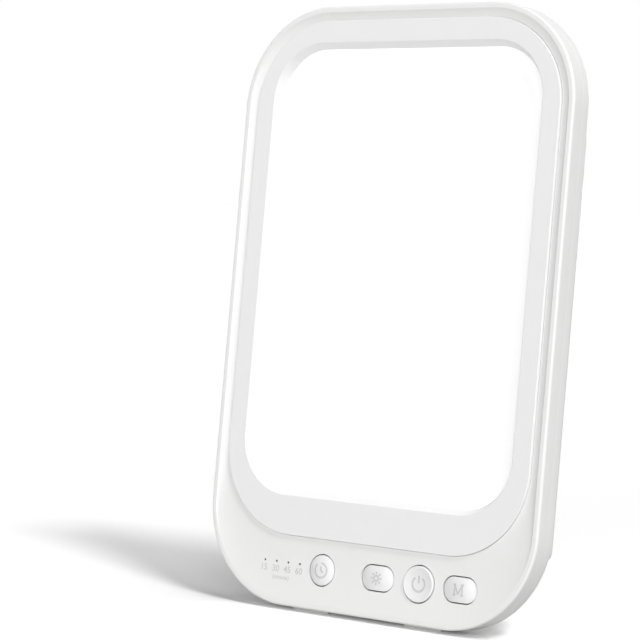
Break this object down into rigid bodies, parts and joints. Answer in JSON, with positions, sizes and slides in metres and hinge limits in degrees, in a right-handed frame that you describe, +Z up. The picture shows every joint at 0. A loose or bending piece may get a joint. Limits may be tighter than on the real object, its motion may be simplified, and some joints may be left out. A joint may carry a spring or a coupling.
{
  "type": "light therapy lamp",
  "caption": "Slim upright light therapy lamp with an edge-lit opal panel, a row of push buttons on the chin and a folding rear leg.",
  "frame": {"origin": "on the table, at the centre of the lamp's footprint box with the leg open", "axes": "+Z up, the lit face looks towards -Y, +X to the viewer's right"},
  "size_m": [0.145, 0.0503, 0.2194],
  "materials": {
    "white_housing": "fine satin moulded plastic",
    "trim_plate": "smooth satin white plastic",
    "opal_diffuser": "opal acrylic, lit from behind",
    "clear_acrylic": "polished clear acrylic",
    "white_film": "white reflector film",
    "button_white": "satin white plastic",
    "aluminium_sheet": "mill finish sheet",
    "circuit_board": "green solder mask on glass-epoxy board",
    "led_package": "phosphor-coated LED package",
    "black_plastic": "moulded black plastic",
    "dark_lens": "smoked acrylic",
    "grey_rubber": "soft grey rubber",
    "steel": "zinc-plated steel",
    "capacitor_can": "bare aluminium can",
    "lead_jacket": "white flat cable"
  },
  "bodies": {
    "panel": {"front_bezel": "white_housing", "rear_cover": "white_housing", "diffuser_frame": "trim_plate", "diffuser": "opal_diffuser", "light_guide": "clear_acrylic", "reflector": "white_film", "backlight_tray": "aluminium_sheet", "led_strip_left": "circuit_board", "led_strip_right": "circuit_board", "led_chips_left": "led_package", "led_chips_right": "led_package", "control_board": "circuit_board", "light_pipe": "dark_lens", "timer_leds": "led_package", "driver_board": "circuit_board", "inductor": "black_plastic", "capacitors": "capacitor_can", "led_socket_left": "black_plastic", "led_socket_right": "black_plastic", "signal_socket": "black_plastic", "board_socket": "black_plastic", "power_jack": "black_plastic", "led_lead_left": "lead_jacket", "led_lead_right": "lead_jacket", "signal_lead": "lead_jacket", "power_lead": "lead_jacket", "hinge_pin": "steel", "housing_screws": "steel", "board_screws": "steel", "driver_screws": "steel", "base_pads": "grey_rubber", "timer_switch": "black_plastic", "brightness_switch": "black_plastic", "power_switch": "black_plastic", "mode_switch": "black_plastic"},
    "leg": {"folding_leg": "white_housing", "leg_foot_pad": "grey_rubber"},
    "timer_key": {"timer_button": "button_white", "timer_switch_stem": "black_plastic"},
    "brightness_key": {"brightness_button": "button_white", "brightness_switch_stem": "black_plastic"},
    "power_key": {"power_button": "button_white", "power_switch_stem": "black_plastic"},
    "mode_key": {"mode_button": "button_white", "mode_switch_stem": "black_plastic"}
  },
  "joints": [
    {"name": "leg_hinge", "type": "hinge", "parent": "panel", "child": "leg", "pos_m": [0, 0.00423, 0.10257], "axis": [1, 0, 0], "range_deg": [-18.1, 0]},
    {"name": "timer_press", "type": "slide", "parent": "panel", "child": "timer_key", "axis": [0, 0.9903, -0.1392], "range_m": [0, 0.0004], "stiffness_N_per_m": 1500},
    {"name": "brightness_press", "type": "slide", "parent": "panel", "child": "brightness_key", "axis": [0, 0.9903, -0.1392], "range_m": [0, 0.0004], "stiffness_N_per_m": 1500},
    {"name": "power_press", "type": "slide", "parent": "panel", "child": "power_key", "axis": [0, 0.9903, -0.1392], "range_m": [0, 0.0004], "stiffness_N_per_m": 1500},
    {"name": "mode_press", "type": "slide", "parent": "panel", "child": "mode_key", "axis": [0, 0.9903, -0.1392], "range_m": [0, 0.0004], "stiffness_N_per_m": 1500}
  ]
}
